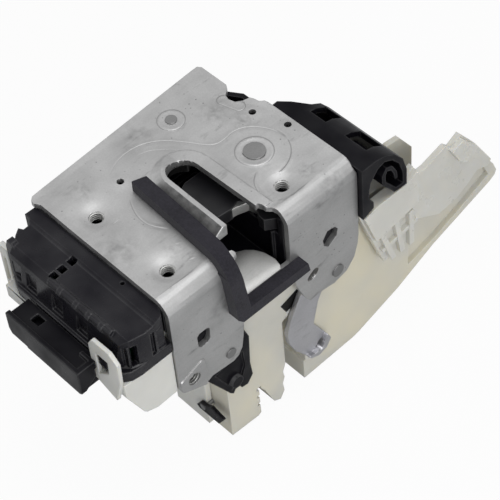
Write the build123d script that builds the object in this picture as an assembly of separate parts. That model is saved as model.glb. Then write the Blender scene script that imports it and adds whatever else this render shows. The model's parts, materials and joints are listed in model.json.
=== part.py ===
"""Door latch actuator: steel latch frame, claw and pawl, cable guide, electrical module and
actuator housing, built as separate solids in one frame.

Frame: the origin is on the axis of the inner screw hole, where its thread starts under the
dimple. +Z is the outward normal of the face plate, +X points to the flange where the striker
comes in, and +Y points to the cable guide. The shapes are drawn with the outside of the face
plate at height zero and saved a dimple depth higher. All lengths are in millimetres.
"""
import math
import os

from build123d import *

os.makedirs("parts", exist_ok=True)

# Steel sheet and its bend
SHEET = 2.5
FLANGE_FACE_X = 13.5
BEND_RADIUS = 7.0
FLANGE_INNER_X = FLANGE_FACE_X - SHEET
PLATE_Y_LOW = -69.0
PLATE_Y_HIGH = 26.0
FLANGE_Z_LOW = -59.0

# Screw holes for the vehicle door: M6
SCREW_RADIUS = 2.95
SCREW_HOLES = [(-38.6, -57.8), (-0.6, -56.5), (0.0, 0.0)]
DIMPLE_TOP_RADIUS = 6.2
DIMPLE_DEPTH = 1.6
BOSS_DEPTH = 4.2
SIDE_SCREW_Y = -62.0
SIDE_SCREW_Z = -48.1

# Slot for the striker
SLOT_CENTRE_Y = -21.9
SLOT_HALF_WIDTH = 6.8
SLOT_END_X = -36.6
RIM_HEIGHT = 2.6
RIM_FAR_HEIGHT = 0.35
RIM_LAND = 1.8
LIP_END_X = 1.8
LIP_FOOT_Y = -34.4
MOUTH_Y_LOW = -37.0
MOUTH_Y_HIGH = -10.0
MOUTH_Z_LOW = -27.0

# Claw and pawl
CLAW_PIVOT = (-19.0, 4.3)
PIN_RADIUS = 4.4
RUNNING_GAP = 0.05
BODY_GAP = 0.3
CLAW_TOP_Z = -7.8
CLAW_LOW_Z = -13.8
CORE_SKIN = 0.6
CLAW_RIM_RADIUS = 37.0
PAWL_PIVOT = (-20.0, -45.0)
PAWL_PIN_RADIUS = 3.5
PAWL_EYE_RADIUS = 7.0

# Latch housing and back plate
CAVITY_FLOOR_Z = -14.1
HOUSING_LOW_Z = -16.0
BACK_PLATE_Z = HOUSING_LOW_Z - SHEET
POCKET_LOW_Z = -34.0
WALL = 2.0

# Actuator housing, seen under the flange
FRONT_X = 8.0
REAR_X = -17.0
ARM_REAR_X = 3.0
BASE_Z = -113.0
COVER_THICKNESS = 2.5

# Lock drive
GEAR_MODULE = 1.0
PINION_TEETH = 12
SECTOR_TEETH = 30
BACKLASH = 0.35
LOCK_AXIS_X = -3.0
LOCK_AXIS_Z = -98.0
MOTOR_AXIS_Z = LOCK_AXIS_Z + GEAR_MODULE * (PINION_TEETH + SECTOR_TEETH) / 2
MOTOR_RADIUS = 8.5
LOCK_SHAFT_RADIUS = 1.4
WHITE_WALL_Y = (-46.0, -43.2)
LOCK_LEVER_Y = (-48.0, -46.3)
DRIVE_Y = -40.0
GEAR_WIDTH = 4.0

# Release lever
LEVER_FRONT_X = 10.7
LEVER_THICKNESS = 2.2
LEVER_PIVOT_Y = 14.0
LEVER_PIVOT_Z = -52.0
LEVER_PIN_RADIUS = 2.9

# Electrical module on the low side
MODULE_LEFT_X = -60.5
MODULE_RIGHT_X = 13.0
HOOD_LIP_Y = -102.4
ARM_TIP_Y = 114.3
MODULE_TOP_Z = -4.0


def box(x, y, z):
    """Box from three (low, high) pairs."""
    size = (x[1] - x[0], y[1] - y[0], z[1] - z[0])
    middle = ((x[0] + x[1]) / 2, (y[0] + y[1]) / 2, (z[0] + z[1]) / 2)
    return Pos(*middle) * Box(*size)


def rod(radius, start, end):
    """Cylinder between two points on a line parallel to an axis."""
    a, b = Vector(*start), Vector(*end)
    plane = Plane(origin=start, z_dir=b - a)
    return extrude(plane * Circle(radius), (b - a).length)


def flat_xy(points, low, high):
    """Prism from an outline seen from above, between two heights."""
    return extrude(Pos(0, 0, low) * make_face(Polyline(*points, close=True)), high - low)


def flat_yz(points, low, high):
    """Prism from a (y, z) outline, between two x values."""
    line = Polyline(*[(low, y, z) for y, z in points], close=True)
    return extrude(make_face(line), high - low, dir=(1, 0, 0))


def flat_xz(points, low, high):
    """Prism from an (x, z) outline, between two y values."""
    line = Polyline(*[(x, low, z) for x, z in points], close=True)
    return extrude(make_face(line), high - low, dir=(0, 1, 0))


def polar(centre, radius, degrees):
    """Point at an angle round a centre, seen from above."""
    angle = math.radians(degrees)
    return (centre[0] + radius * math.cos(angle), centre[1] + radius * math.sin(angle))


def arc_points(centre, radius, start, end, steps):
    """Evenly spaced points along an arc."""
    return [polar(centre, radius, start + (end - start) * i / steps) for i in range(steps + 1)]


def save(shape, name):
    """Write one node, raised so that the thread of the inner screw hole starts at zero height."""
    export_step(shape.moved(Location((0, 0, DIMPLE_DEPTH))), f"parts/{name}.step")


# Latch plate: face plate and flange bent from one sheet, cut to its outlines
def slot_outline(grow):
    """Outline of the striker slot, grown outwards by a margin."""
    half = SLOT_HALF_WIDTH + grow
    end = arc_points((SLOT_END_X + SLOT_HALF_WIDTH, SLOT_CENTRE_Y), half, 90, 270, 12)
    return [(4.0, SLOT_CENTRE_Y + half + 0.9)] + end + [(4.0, SLOT_CENTRE_Y - half - 0.6)]


bend_centre = (FLANGE_FACE_X - BEND_RADIUS, -BEND_RADIUS)
outer_bend = arc_points(bend_centre, BEND_RADIUS, 90, 0, 6)
inner_bend = arc_points(bend_centre, BEND_RADIUS - SHEET, 0, 90, 6)
section = [(-70.0, 0.0)] + outer_bend + [(FLANGE_FACE_X, FLANGE_Z_LOW), (FLANGE_INNER_X, FLANGE_Z_LOW)]
section += inner_bend + [(-70.0, -SHEET)]
sheet = flat_xz(section, PLATE_Y_LOW - 1.5, PLATE_Y_HIGH)

face_outline = [
    (-59.8, -70.2), (-57.6, -68.8), (20.0, PLATE_Y_LOW), (20.0, PLATE_Y_HIGH), (-33.0, PLATE_Y_HIGH),
    (-35.5, 25.4), (-36.8, 23.8), (-39.6, 23.2), (-40.9, 22.6), (-41.6, 19.6), (-43.3, 17.1),
    (-46.0, 16.3), (-48.6, 16.9), (-50.9, 20.0), (-52.6, 21.1), (-66.8, 21.1), (-68.4, 20.0),
    (-68.4, 17.5), (-63.2, -66.6), (-63.0, -68.4), (-61.6, -70.0),
]
flange_outline = [
    (-72.0, 5.0), (-72.0, -1.4), (PLATE_Y_LOW, -3.0), (PLATE_Y_LOW, -48.0), (-68.4, -50.5),
    (-67.4, -51.7), (-56.6, -56.9), (-55.2, -56.4), (-53.0, -55.4), (-42.3, -56.7), (-39.4, -55.5),
    (-37.4, -52.3), (-36.3, -46.6), (-35.5, -40.5), (-35.5, -32.0), (-8.5, -32.0), (-8.0, -42.0),
    (-5.0, -50.0), (-3.0, -54.5), (-1.0, -57.4), (4.0, -56.8), (12.0, -58.2), (19.0, -56.6),
    (23.4, -51.6), (25.4, -45.0), (PLATE_Y_HIGH, -40.0), (PLATE_Y_HIGH, -5.0), (25.2, -2.4),
    (27.0, 5.0),
]
latch_plate = sheet & flat_xy(face_outline, -80, 5) & flat_yz(flange_outline, -80, 20)

# The rim round the slot: a high lip on the low side that fades out towards the other
lip_y = SLOT_CENTRE_Y - SLOT_HALF_WIDTH
rim_foot = make_face(Polyline(*slot_outline(lip_y - LIP_FOOT_Y), close=True))
rim_land = make_face(Polyline(*slot_outline(RIM_LAND), close=True))
rim = loft([rim_foot, Pos(0, 0, RIM_HEIGHT) * rim_land], ruled=True)
fade_start = SLOT_CENTRE_Y - 5.0
fade_end = SLOT_CENTRE_Y + 2.4
rim -= flat_yz(
    [
        (fade_start, RIM_HEIGHT + 0.1), (fade_end, RIM_FAR_HEIGHT), (20, RIM_FAR_HEIGHT), (20, 9),
        (fade_start, 9),
    ],
    -60, 20,
)
rim -= box((LIP_END_X, 30), (-60, SLOT_CENTRE_Y), (-5, 5))
latch_plate += rim
for x, y in SCREW_HOLES:
    latch_plate += extrude(Pos(x, y, -SHEET - BOSS_DEPTH) * RegularPolygon(DIMPLE_TOP_RADIUS, 12), BOSS_DEPTH)
    latch_plate -= Pos(x, y, -DIMPLE_DEPTH / 2) * Cone(SCREW_RADIUS, DIMPLE_TOP_RADIUS, DIMPLE_DEPTH)
    latch_plate -= Pos(x, y, -4) * Cylinder(SCREW_RADIUS, 12)

mouth_top = [
    (1.0, -13.0), (2.6, -12.4), (4.2, -12.2), (6.0, -10.6), (8.0, MOUTH_Y_HIGH), (20.0, MOUTH_Y_HIGH),
    (20.0, MOUTH_Y_LOW), (12.6, MOUTH_Y_LOW), (11.0, -33.6), (9.6, -34.4), (9.0, -36.4), (2.4, -36.2),
    (1.9, LIP_FOOT_Y),
    (LIP_END_X, lip_y),
]
latch_plate -= flat_xy(mouth_top, MOUTH_Z_LOW, 5)
latch_plate -= box((9.0, 20.0), (MOUTH_Y_LOW, -30.0), (MOUTH_Z_LOW, -4.2))
latch_plate -= flat_xy(slot_outline(0), -SHEET - 1, 5)

nut_tab = [
    (-68.4, -45.3), (-57.6, -41.0), (-56.2, -41.6), (-55.4, -49.0), (-55.4, -51.8), (-56.6, -56.9),
    (-67.4, -51.7), (-68.4, -50.5),
]
latch_plate += flat_yz(nut_tab, FLANGE_INNER_X, FLANGE_FACE_X + 0.6)
latch_plate += rod(
    5.0, (FLANGE_INNER_X - 3.0, SIDE_SCREW_Y, SIDE_SCREW_Z),
    (FLANGE_INNER_X, SIDE_SCREW_Y, SIDE_SCREW_Z),
)
latch_plate -= rod(SCREW_RADIUS, (0, SIDE_SCREW_Y, SIDE_SCREW_Z), (20, SIDE_SCREW_Y, SIDE_SCREW_Z))

left_window = [
    (-57.9, -27.2), (-56.8, -26.0), (-53.0, -26.0), (-51.7, -27.2), (-51.9, -32.8), (-53.2, -34.3),
    (-56.6, -34.3), (-57.8, -33.0),
]
right_window = [
    (6.9, -28.2), (9.4, -24.6), (13.4, -25.4), (15.0, -27.8), (14.2, -31.2), (9.6, -34.2), (7.4, -31.6),
]
latch_plate -= flat_yz(left_window, 5, 20)
latch_plate -= flat_yz(right_window, 5, 20)
oblong = SlotOverall(6.4, 4.0)
latch_plate -= extrude(Plane(origin=(5, 1.0, -43.2), x_dir=(0, 0.8, 0.6), z_dir=(1, 0, 0)) * oblong, 20)

small_holes = [(-44.5, -40.7), (-34.5, 17.9), (-19.8, 22.6)]
for x, y in small_holes:
    latch_plate -= Pos(x, y, -2) * Cylinder(1.5, 8)
RIVET_RADIUS = 2.35
PLATE_RIVET = (-54.3, -6.4)
FLANGE_RIVET = (-43.2, -50.7)
latch_plate -= Pos(*CLAW_PIVOT, -2) * Cylinder(PIN_RADIUS, 8)
latch_plate -= Pos(*PLATE_RIVET, -2) * Cylinder(RIVET_RADIUS, 8)
latch_plate -= rod(RIVET_RADIUS, (5, *FLANGE_RIVET), (20, *FLANGE_RIVET))
latch_plate -= rod(LEVER_PIN_RADIUS, (5, LEVER_PIVOT_Y, LEVER_PIVOT_Z), (20, LEVER_PIVOT_Y, LEVER_PIVOT_Z))

# Ramp that guides the striker: the curved steel tongue at the foot of the mouth
RAMP_THICKNESS = 1.8
ramp_front_x = FLANGE_FACE_X - 0.1
ramp_low_z = MOUTH_Z_LOW + BODY_GAP
ramp_side_y = MOUTH_Y_LOW + 0.8
ramp_line = [
    (ramp_front_x, ramp_low_z), (ramp_front_x - 0.3, -25.8), (12.0, -25.1), (10.5, -24.7), (8.4, -24.4),
    (6.0, -24.2),
    (3.0, -24.1), (0.0, -24.3), (-2.5, -24.8), (-5.0, -25.6),
]
leg_x = (FLANGE_INNER_X - BODY_GAP - RAMP_THICKNESS, FLANGE_INNER_X - BODY_GAP)
ramp_back = [
    (-5.6, -27.2), (-2.5, -26.6), (0.0, -26.1), (3.0, -25.9), (6.0, -26.0), (leg_x[0], ramp_low_z),
    (leg_x[0], -35.0),
    (leg_x[1], -35.0), (leg_x[1], ramp_low_z),
]
ramp_plan = [
    (ramp_front_x, ramp_side_y), (ramp_front_x, -15.0), (12.0, -14.1), (9.0, -13.6), (4.0, -14.5),
    (0.0, -16.3), (-3.0, -18.5),
    (-5.0, -21.0), (-6.0, -24.5), (-6.0, -28.0), (-4.8, -31.0), (-2.6, -33.4), (0.0, ramp_side_y),
]
striker_ramp = flat_xz(ramp_line + ramp_back, -40, -10) & flat_xy(ramp_plan, -36, -20)

# Back plate: the claw and the pawl turn between it and the face plate
back_outline = [
    (-57, -62), (8, -62), (8, -37), (-43, -37), (-43, -5), (8, -5), (8, 22), (-44, 22), (-57, 14),
]
back_plate = flat_xy(back_outline, BACK_PLATE_Z, HOUSING_LOW_Z)
for pivot, radius in ((CLAW_PIVOT, PIN_RADIUS), (PAWL_PIVOT, PAWL_PIN_RADIUS)):
    back_plate -= Pos(*pivot, HOUSING_LOW_Z) * Cylinder(radius, 8)

# Latch housing: black frame that closes the claw and pawl chamber all round
chamber_outer = [(-60, -69.2), (10.6, -69.2), (10.6, 24), (-46, 24), (-60, 15)]
boss_side = SCREW_HOLES[0][1] - DIMPLE_TOP_RADIUS - BODY_GAP
chamber_inner = [(-58, -50), (-46, -50), (-46, boss_side), (9.0, boss_side), (9.0, 22), (-45, 22), (-58, 14)]
latch_housing = flat_xy(chamber_outer, HOUSING_LOW_Z, -SHEET)
latch_housing -= flat_xy(chamber_inner, CAVITY_FLOOR_Z, 0)
mouth_room = [(-41, -36.5), (-41, -6.7), (12, -6.7), (12, -36.5)]
latch_housing -= flat_xy(mouth_room, -20, 0)
for pivot, radius in ((CLAW_PIVOT, PIN_RADIUS), (PAWL_PIVOT, PAWL_PIN_RADIUS)):
    latch_housing -= Pos(*pivot, HOUSING_LOW_Z) * Cylinder(radius, 8)
latch_housing -= flat_xz(
    [(4.0, 1)] + [(x - 0.05, z - 0.05) for x, z in inner_bend[::-1]] + [(20, -6.9), (20, 1)], -80, 40,
)

# Striker pocket: deep black channel under the slot
pocket_outer = [(-40.8, -36.3), (-40.8, -6.9), (10.5, -6.9), (10.5, -36.3)]
pocket_inner = [(-38.2, -34.4), (-38.2, -10.0), (12, -10.0), (12, -34.4)]
striker_pocket = flat_xy(pocket_outer, POCKET_LOW_Z, CAVITY_FLOOR_Z - BODY_GAP)
striker_pocket -= flat_xy(pocket_inner, POCKET_LOW_Z + WALL, 0)
striker_pocket += box((7.6, 10.5), (-10.0, -7.0), (POCKET_LOW_Z, -5.0))
striker_pocket += box((4.4, 5.4), (-11.2, -10.0), (POCKET_LOW_Z, CAVITY_FLOOR_Z - BODY_GAP))
striker_pocket -= flat_xz(ramp_line + ramp_back, -40, -10) & flat_xy(ramp_plan, -36, -20)

# Rubber stop at the closed end of the slot
stop_ring = arc_points((-31.1, SLOT_CENTRE_Y), 6.9, 120, 240, 8) + arc_points(
    (-31.1, SLOT_CENTRE_Y), 10.5, 240, 120, 8,
)
striker_stop = flat_xy(stop_ring, -7.4, -SHEET)


# Claw, drawn at rest with the latch open
def claw_outline(grow):
    """Claw seen from above; the mouth opens towards the striker's way in."""
    rim = CLAW_RIM_RADIUS - 1.0 + grow
    heel = 12.5 + grow
    points = arc_points(CLAW_PIVOT, rim, -76, -104 - grow, 7)
    points += [polar(CLAW_PIVOT, 32.4 + grow, -106.5 - grow), polar(CLAW_PIVOT, rim - 9.0, -118)]
    points += [polar(CLAW_PIVOT, heel + 3.0, -142)]
    points += arc_points(CLAW_PIVOT, heel, -160, -335, 12)
    points += [polar(CLAW_PIVOT, 21.0 + grow, 12), polar(CLAW_PIVOT, 26.0 + grow, -4)]
    points += [polar(CLAW_PIVOT, 27.4 + grow, -22), polar(CLAW_PIVOT, 27.0 + grow, -36 - 1.5 * grow)]
    points += [polar(CLAW_PIVOT, 25.2, -40 - 1.5 * grow), polar(CLAW_PIVOT, 20.4 - grow, -42 - 1.5 * grow)]
    points += [polar(CLAW_PIVOT, 18.4 - grow, -52), polar(CLAW_PIVOT, 21.4 - grow, -63 + 1.5 * grow)]
    points += [polar(CLAW_PIVOT, 29.0, -74 + 1.5 * grow)]
    return points


core_low = CLAW_LOW_Z + CORE_SKIN
core_high = CLAW_TOP_Z - CORE_SKIN
claw = flat_xy(claw_outline(0), core_low, core_high)
claw -= Pos(*CLAW_PIVOT, -10) * Cylinder(PIN_RADIUS + RUNNING_GAP, 20)
claw_overmould = flat_xy(claw_outline(1.0), CLAW_LOW_Z, CLAW_TOP_Z)
bright_corner = [(-10.8, -13.2), (-7.6, -9.4), (-2.2, -11.6), (-3.6, -17.4), (-9.6, -17.0)]
rim_window = arc_points(CLAW_PIVOT, 33.5, -100, -118, 4) + arc_points(CLAW_PIVOT, 42.0, -118, -100, 4)
claw_overmould -= flat_xy(bright_corner, -20, 0)
claw_overmould -= flat_xy(rim_window, -20, 0)
claw_overmould -= claw
claw_overmould -= Pos(*CLAW_PIVOT, -10) * Cylinder(PIN_RADIUS + 1.6, 20)

# Pawl, drawn at rest on the rim of the claw
pawl_tip_angle = -108.0
tip_out = polar(CLAW_PIVOT, CLAW_RIM_RADIUS + BODY_GAP, pawl_tip_angle)
tip_far = polar(CLAW_PIVOT, CLAW_RIM_RADIUS + BODY_GAP, pawl_tip_angle - 7)
pawl_outline = [tip_out, tip_far, polar(CLAW_PIVOT, CLAW_RIM_RADIUS + 3.5, pawl_tip_angle - 8.5)]
pawl_outline += [polar(PAWL_PIVOT, PAWL_EYE_RADIUS, a) for a in (170, 200, 230, 260, 290, 320)]
pawl_outline += [(-4.5, -50.0), (-1.0, -46.5), (-2.2, -43.4), (-7.0, -43.0)]
pawl_outline += [polar(PAWL_PIVOT, PAWL_EYE_RADIUS, a) for a in (20, 45, 70, 95)]
pawl = flat_xy(pawl_outline, core_low, core_high)
pawl -= Pos(*PAWL_PIVOT, -10) * Cylinder(PAWL_PIN_RADIUS + RUNNING_GAP, 20)

# Pins and rivets
claw_pin = rod(PIN_RADIUS, (*CLAW_PIVOT, BACK_PLATE_Z), (*CLAW_PIVOT, 0.5))
pawl_pin = rod(PAWL_PIN_RADIUS, (*PAWL_PIVOT, BACK_PLATE_Z), (*PAWL_PIVOT, -SHEET))
plate_rivet = rod(RIVET_RADIUS, (*PLATE_RIVET, -SHEET), (*PLATE_RIVET, 0.4))
flange_rivet = rod(RIVET_RADIUS, (FRONT_X, *FLANGE_RIVET), (FLANGE_FACE_X + 0.5, *FLANGE_RIVET))


# Torsion springs: round wire wound on the two pivots
def torsion_spring(centre, coil_radius, wire, low, turns, leg, leg_angle):
    """Coil with a straight leg that runs off along its tangent."""
    pitch = wire * 2 + 0.25
    corners = 10
    points = []
    for i in range(int(corners * turns) + 1):
        x, y = polar(centre, coil_radius, 360 * i / corners)
        points.append((x, y, low + pitch * i / corners))
    path = Polyline(*points)
    coil = sweep(
        Plane(origin=points[0], z_dir=path % 0) * RegularPolygon(wire, 6), path=path,
        transition=Transition.RIGHT,
    )
    leg_end = Pos(*points[0]) * Rot(0, 0, leg_angle) * Rot(0, 90, 0) * Pos(0, 0, -wire)
    return coil + extrude(leg_end * RegularPolygon(wire * 0.9, 6), leg)


claw_spring = torsion_spring(CLAW_PIVOT, 6.6, 0.7, -6.7, 2.0, 10.0, -90)
pawl_spring = torsion_spring(PAWL_PIVOT, 5.0, 0.6, -7.0, 2.0, 9.0, -90)

# Foam seal: one leg along the slot, round the bend, the other across below the mouth
SEAL = 5.2
seal_side = [(-37.6, 0.0), (-37.4, SEAL)]
seal_side += [(x, z) for x, z in arc_points(bend_centre, BEND_RADIUS + SEAL, 90, 0, 6)]
seal_side += [(FLANGE_FACE_X + SEAL, -31.5), (FLANGE_FACE_X, -31.5)]
seal_side += [(x, z) for x, z in arc_points(bend_centre, BEND_RADIUS, 0, 90, 6)]
seal_plan = [
    (-37.6, -40.6), (-35.6, -34.9), (-5.0, -36.4), (9.0, -37.4), (13.0, -37.9), (20.0, -38.0),
    (20.0, -44.2), (9.0, -43.5),
    (-2.0, -42.7), (-13.5, -41.9),
]
seal_strip = flat_xz(seal_side, -50, -30) & flat_xy(seal_plan, -3.0, 10)
leg_plan = [
    (-38.0, -3.0), (-37.0, -12.0), (-35.3, -25.0), (-35.3, -30.6), (-39.4, -30.6), (-41.9, -27.5),
    (-43.2, -11.5),
    (-44.1, -3.0),
]
seal_strip += flat_xz(seal_side, -50, -30) & flat_yz(leg_plan, 10, 20)
across = [(-36.0, -25.0), (-5.8, -26.1), (-4.9, -30.8), (-36.0, -30.6)]
seal_strip += flat_yz(across, FLANGE_FACE_X, FLANGE_FACE_X + SEAL)

# Cable guide: black channel with a hooked lip
GUIDE_X = (-34.0, 16.0)
guide_outer = [
    (26.3, -3.2), (34.0, -3.0), (39.0, -4.2), (44.0, -7.4), (48.4, -13.0), (50.6, -20.6), (50.6, -29.0),
    (48.6, -29.0), (48.4, -21.0), (46.4, -14.2), (42.6, -9.4), (38.4, -7.0), (34.6, -8.2), (30.9, -12.6),
    (30.0, -16.2), (29.6, -20.5), (32.2, -24.9), (32.2, -28.2), (26.3, -30.5),
]
hook = [
    (49.6, -29.0), (43.7, -28.4), (37.1, -19.2), (37.1, -14.6), (39.4, -11.2), (42.6, -12.6), (45.0, -17.4),
    (45.4, -21.2), (44.0, -21.2), (43.4, -17.8), (41.8, -14.4), (39.8, -13.4), (38.8, -15.0), (38.8, -18.6),
    (44.6, -26.6), (49.6, -27.2),
]
cable_guide = flat_yz(guide_outer, *GUIDE_X) + flat_yz(hook, -4.0, GUIDE_X[1])
cable_guide -= flat_xy([(-60, 20), (-38, 27), (-24, 39), (-24, 60), (-60, 60)], -40, 5)
for low, high in ((-21.0, -12.5), (-2.2, 9.0)):
    cable_guide -= box((low, high), (35.6, 44.0), (-12.0, 0.0))
closed_end = flat_yz(guide_outer[:7] + [(26.3, -30.5)], *GUIDE_X)
cable_guide += closed_end & flat_xy(
    [(-38.0, 27.0), (-24.0, 39.0), (-24.0, 60.0), (-21.8, 60.0), (-21.8, 38.0), (-34.6, 27.0)], -40, 5,
)
guide_web = box((GUIDE_X[0], 6.0), (24.2, 26.3), (-30.5, -3.2))
cable_guide += guide_web


# Actuator housing: cream mouldings under the flange, hollow behind their front walls
def grooved(block, y_face, z_values, x_low, depth):
    """Cut grooves along X into a wall at y_face."""
    for z in z_values:
        block -= box((x_low, 12), (y_face - depth, y_face + depth), (z - 1.0, z + 1.0))
    return block


main_outline = [
    (-1.0, BASE_Z), (26.2, -112.4), (30.3, -111.6), (54.0, -103.8), (62.0, -100.0), (62.0, -46.0),
    (50.0, -34.0),
    (40.0, -31.2), (22.0, -31.2), (22.0, BACK_PLATE_Z), (-1.0, BACK_PLATE_Z),
]
arm_outline = [
    (60.0, -46.0), (84.0, -48.0), (92.0, -52.0), (ARM_TIP_Y - 14.3, -61.0), (ARM_TIP_Y - 6.4, -66.2),
    (ARM_TIP_Y - 2.3, -72.4), (ARM_TIP_Y, -78.0), (ARM_TIP_Y - 0.7, -80.4), (ARM_TIP_Y - 3.9, -82.3),
    (92.6, -88.2),
    (75.0, -94.0), (60.0, -101.0),
]
main_body = flat_yz(main_outline, REAR_X, FRONT_X)
main_body += flat_yz(arm_outline, ARM_REAR_X, FRONT_X)
upper_outline = [(-43.0, BACK_PLATE_Z), (0.0, BACK_PLATE_Z), (0.0, -61.0), (-12.0, -66.0), (-43.0, -66.0)]
block_outline = [(-43.0, -60.0), (-27.0, -60.0), (-27.0, -112.0), (-28.5, BASE_Z), (-43.0, -112.0)]
comb_outline = [
    (-28.5, -60.0), (-12.0, -60.0), (-12.0, -93.0), (-13.6, -97.5), (-13.0, -101.5), (-14.2, -105.0),
    (-13.6, -110.0), (-16.0, -114.0), (-19.4, -112.0), (-24.0, -100.0), (-28.5, -92.0),
]
actuator_housing = main_body + flat_yz(upper_outline, REAR_X, FRONT_X)
actuator_housing += flat_yz(block_outline, REAR_X, FRONT_X)
actuator_housing += flat_yz(comb_outline, REAR_X, FRONT_X)
actuator_housing += box((REAR_X, FRONT_X), (-2.2, 0.0), (BASE_Z, -101.8))
actuator_housing = grooved(actuator_housing, -12.0, (-98.6, -107.6), -10.0, 1.4)
actuator_housing = grooved(actuator_housing, -27.0, (-96.0, -101.0, -106.0), -10.0, 1.2)

# The arm carries a raised rim round a shallow tray
arm_tray = [
    (60.0, -66.0), (82.0, -74.0), (97.0, -66.0), (106.0, -70.0), (109.4, -77.0), (92.0, -84.6),
    (74.0, -91.0), (60.0, -94.0),
]
actuator_housing -= flat_yz(arm_tray, FRONT_X - 2.4, FRONT_X + 1)

# Hollows, open towards the rear cover
drive_room = [
    (-41.2, -62.0), (-14.0, -62.0), (-14.0, -90.0), (-25.5, -90.0), (-29.5, -94.0), (-29.5, -109.0),
    (-41.2, -109.0),
]
actuator_housing -= flat_yz(drive_room, REAR_X - 1, FRONT_X - WALL)
board_room = [(2.0, -108.0), (28.0, -108.0), (52.0, -99.0), (52.0, -62.0), (2.0, -62.0)]
actuator_housing -= flat_yz(board_room, REAR_X - 1, FRONT_X - WALL)
actuator_housing -= box((REAR_X - 1, 12), (-36.5, -6.7), (POCKET_LOW_Z, BACK_PLATE_Z + 1))
actuator_housing -= rod(
    LEVER_PIN_RADIUS, (-2.0, LEVER_PIVOT_Y, LEVER_PIVOT_Z), (20, LEVER_PIVOT_Y, LEVER_PIVOT_Z),
)
boss_room = 5.0 + BODY_GAP
side_room = box(
    (2.0, 20), (SIDE_SCREW_Y - boss_room, SIDE_SCREW_Y + boss_room),
    (SIDE_SCREW_Z - boss_room, SIDE_SCREW_Z + boss_room),
)
actuator_housing -= side_room
shaft_bore = LOCK_SHAFT_RADIUS + RUNNING_GAP
actuator_housing -= rod(shaft_bore, (LOCK_AXIS_X, -60.0, LOCK_AXIS_Z), (LOCK_AXIS_X, -40.0, LOCK_AXIS_Z))

# Tab that stands behind the cable guide
tab_outline = [
    (58.0, -48.0), (60.0, -42.0), (64.0, -43.0), (66.8, -39.6), (74.0, -40.6), (81.0, -51.0),
    (81.0, -64.0), (58.0, -66.0),
]
actuator_housing += flat_yz(tab_outline, -12.5, -10.0)

# Rear cover of the actuator housing
cover_outline = [
    (-43.0, -35.0), (57.0, -35.0), (62.0, -42.0), (62.0, -99.0), (28.0, -112.0), (0.0, -112.0),
    (0.0, -66.0), (-12.0, -66.0), (-12.0, -92.0), (-27.0, -92.0), (-28.0, -112.0), (-43.0, -112.0),
]
rear_cover = flat_yz(cover_outline, REAR_X - COVER_THICKNESS, REAR_X)
SCREW_SPOTS = [(-35.0, -40.0), (10.0, -56.0), (50.0, -45.0), (56.5, -80.0)]
SELF_TAP_RADIUS = 1.5
SCREW_HEAD_X = REAR_X - COVER_THICKNESS
SCREW_LENGTH = 10.0
housing_screws = []
for y, z in SCREW_SPOTS:
    shank = Plane(origin=(SCREW_HEAD_X, y, z), z_dir=(1, 0, 0)) * RegularPolygon(SELF_TAP_RADIUS, 8)
    shank = extrude(shank, SCREW_LENGTH)
    rear_cover -= shank
    actuator_housing -= shank
    head = Plane(origin=(SCREW_HEAD_X, y, z), z_dir=(-1, 0, 0)) * RegularPolygon(3.0, 6)
    housing_screws.append(shank + extrude(head, 2.2))

# White covers on the arm and beside the flange
arm_cover_outline = [
    (58.0, -34.0), (62.4, -37.4), (67.0, -37.6), (78.9, -34.2), (81.9, -37.3), (87.8, -34.2), (96.6, -46.0),
    (107.4, -64.0), (105.6, -66.6), (98.6, -64.0), (93.0, -68.0), (86.6, -71.4), (75.6, -72.4),
    (62.6, -64.6), (58.0, -62.0),
]
arm_cover = flat_yz(arm_cover_outline, FRONT_X, FRONT_X + 2.6)
arm_cover += flat_yz(
    [(80.5, -37.2), (87.0, -35.0), (93.6, -43.0), (90.0, -50.4), (85.0, -46.0)], FRONT_X + 2.6,
    FRONT_X + 5.0,
)
RIB_X = (FRONT_X + 2.8, 15.8)
ribbed_outline = [
    (26.6, -31.4), (33.0, -29.6), (51.2, -29.8), (57.0, -26.4), (58.4, -50.0), (57.0, -67.0),
    (47.0, -69.0), (40.4, -70.4),
]
ribbed_cover = flat_yz(ribbed_outline, RIB_X[0], RIB_X[1] - 2.6)
ribbed_cover += flat_yz(
    [(27.4, -31.6), (34.0, -29.6), (51.4, -29.8), (57.0, -27.0), (57.6, -46.0), (33.8, -50.0)],
    RIB_X[1] - 2.6, RIB_X[1],
)
for offset in (0.0, 8.4, 16.8):
    upright = [
        (36.0 + offset, -49.0), (38.4 + offset, -48.6), (45.2 + offset / 1.6, -69.0),
        (42.6 + offset / 1.6, -69.4),
    ]
    ribbed_cover += flat_yz(upright, RIB_X[1] - 2.6, RIB_X[1] - 0.4)
ribbed_cover += flat_yz(
    [(37.4, -59.0), (58.0, -56.4), (58.0, -58.4), (38.2, -61.4)], RIB_X[1] - 2.6, RIB_X[1] - 0.8,
)
ribbed_cover += box((FRONT_X, RIB_X[0]), (40.0, 56.0), (-62.0, -36.0))

# Black guard under the flange
guard_outline = [
    (-54.0, -57.0), (-54.0, -61.0), (-43.5, -79.6), (-42.0, -81.2), (-40.8, -79.4), (-38.4, -79.6),
    (-37.6, -81.6),
    (-34.4, -82.2), (-31.4, -78.4), (-32.2, -70.0), (-31.4, -54.0), (-34.2, -46.0), (-41.0, -46.0),
    (-44.0, -57.0),
]
lower_guard = flat_yz(guard_outline, FRONT_X, LEVER_FRONT_X)
lower_guard -= flat_yz(
    [(-50.0, -62.0), (-43.4, -75.0), (-37.0, -76.0), (-34.6, -70.0), (-35.4, -60.0)],
    LEVER_FRONT_X - 1.2, 12,
)
lower_guard += rod(2.8, (FRONT_X, -39.6, -75.4), (LEVER_FRONT_X + 0.6, -39.6, -75.4))
lower_guard -= rod(RIVET_RADIUS, (2.0, *FLANGE_RIVET), (20, *FLANGE_RIVET))

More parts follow.
